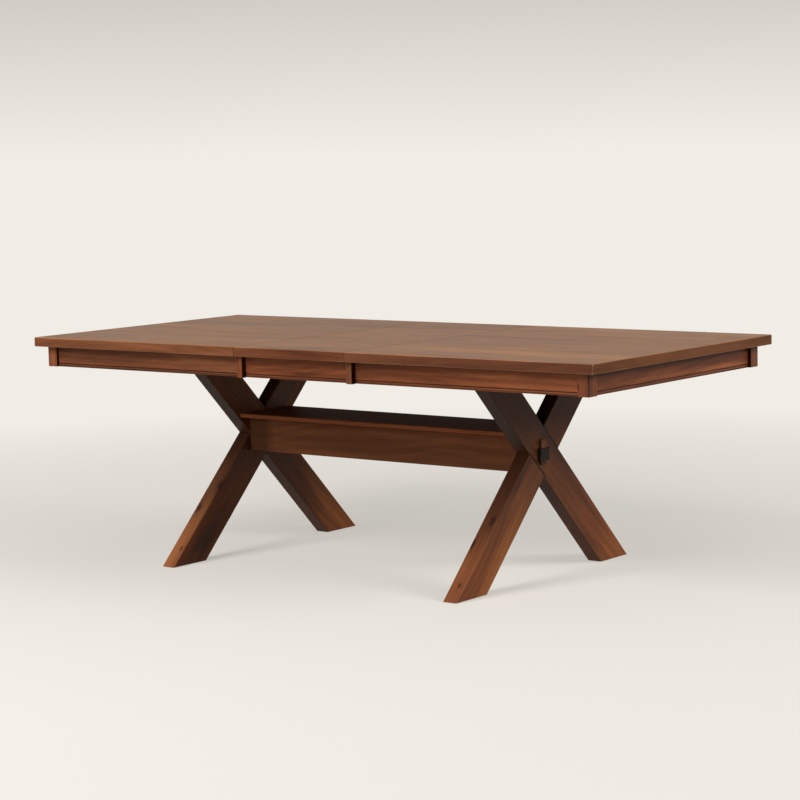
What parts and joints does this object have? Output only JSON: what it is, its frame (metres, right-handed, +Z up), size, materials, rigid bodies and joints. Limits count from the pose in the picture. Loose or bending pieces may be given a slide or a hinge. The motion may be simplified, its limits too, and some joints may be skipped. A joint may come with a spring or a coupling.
{
  "type": "trestle dining table",
  "caption": "Rectangular wooden dining table on crossed-leg frames joined by a box stretcher, with sliding top halves and a lift-out leaf.",
  "frame": {"origin": "on the floor, under the centre of the closed-up top", "axes": "+X along the table's length towards the right half, +Y towards the back, +Z up"},
  "size_m": [2.286, 1.0668, 0.762],
  "materials": {
    "top_wood": "satin stained hardwood",
    "apron_wood": "satin stained hardwood",
    "leg_wood": "satin stained hardwood",
    "stretcher_wood": "satin stained hardwood",
    "runner_wood": "plain hardwood, waxed",
    "dowel_wood": "plain hardwood",
    "screw_steel": "zinc plated",
    "glide_plastic": "matte black"
  },
  "bodies": {
    "base": {"cleat_screws": "screw_steel", "cross_leg_left": "leg_wood", "cross_leg_right": "leg_wood", "fixed_runner_back": "runner_wood", "fixed_runner_front": "runner_wood", "foot_glides_back_left": "glide_plastic", "foot_glides_back_right": "glide_plastic", "foot_glides_front_left": "glide_plastic", "foot_glides_front_right": "glide_plastic", "long_leg_left": "leg_wood", "long_leg_right": "leg_wood", "runner_screws": "screw_steel", "runner_tie": "runner_wood", "stretcher_back": "stretcher_wood", "stretcher_bottom": "stretcher_wood", "stretcher_end_block_left": "stretcher_wood", "stretcher_end_block_right": "stretcher_wood", "stretcher_front": "stretcher_wood", "stretcher_top": "stretcher_wood", "tenon_key_left": "leg_wood", "tenon_key_right": "leg_wood", "tenon_left": "leg_wood", "tenon_right": "leg_wood", "tie_screws": "screw_steel", "top_cleat_left": "runner_wood", "top_cleat_right": "runner_wood"},
    "half_left": {"alignment_pins_left": "dowel_wood", "apron_back_left": "apron_wood", "apron_end_left": "apron_wood", "apron_front_left": "apron_wood", "corner_block_back_left": "apron_wood", "corner_block_front_left": "apron_wood", "corner_bolts_left": "screw_steel", "corner_brace_back_left": "runner_wood", "corner_brace_front_left": "runner_wood", "rail_screws_left": "screw_steel", "seam_block_back_left": "apron_wood", "seam_block_front_left": "apron_wood", "slide_rail_back_left": "runner_wood", "slide_rail_front_left": "runner_wood", "top_left": "top_wood"},
    "half_right": {"alignment_pins_right": "dowel_wood", "apron_back_right": "apron_wood", "apron_end_right": "apron_wood", "apron_front_right": "apron_wood", "corner_block_back_right": "apron_wood", "corner_block_front_right": "apron_wood", "corner_bolts_right": "screw_steel", "corner_brace_back_right": "runner_wood", "corner_brace_front_right": "runner_wood", "rail_screws_right": "screw_steel", "seam_block_back_right": "apron_wood", "seam_block_front_right": "apron_wood", "slide_rail_back_right": "runner_wood", "slide_rail_front_right": "runner_wood", "top_right": "top_wood"},
    "leaf": {"leaf_apron_back": "apron_wood", "leaf_apron_front": "apron_wood", "leaf_top": "top_wood"}
  },
  "joints": [
    {"name": "left_half_slide", "type": "slide", "parent": "base", "child": "half_left", "axis": [-1, 0, 0], "range_m": [0, 0.07]},
    {"name": "right_half_slide", "type": "slide", "parent": "base", "child": "half_right", "axis": [1, 0, 0], "range_m": [0, 0.07]},
    {"name": "leaf_lift", "type": "slide", "parent": "base", "child": "leaf", "axis": [0, 0, 1], "range_m": [0, 0.3]}
  ]
}
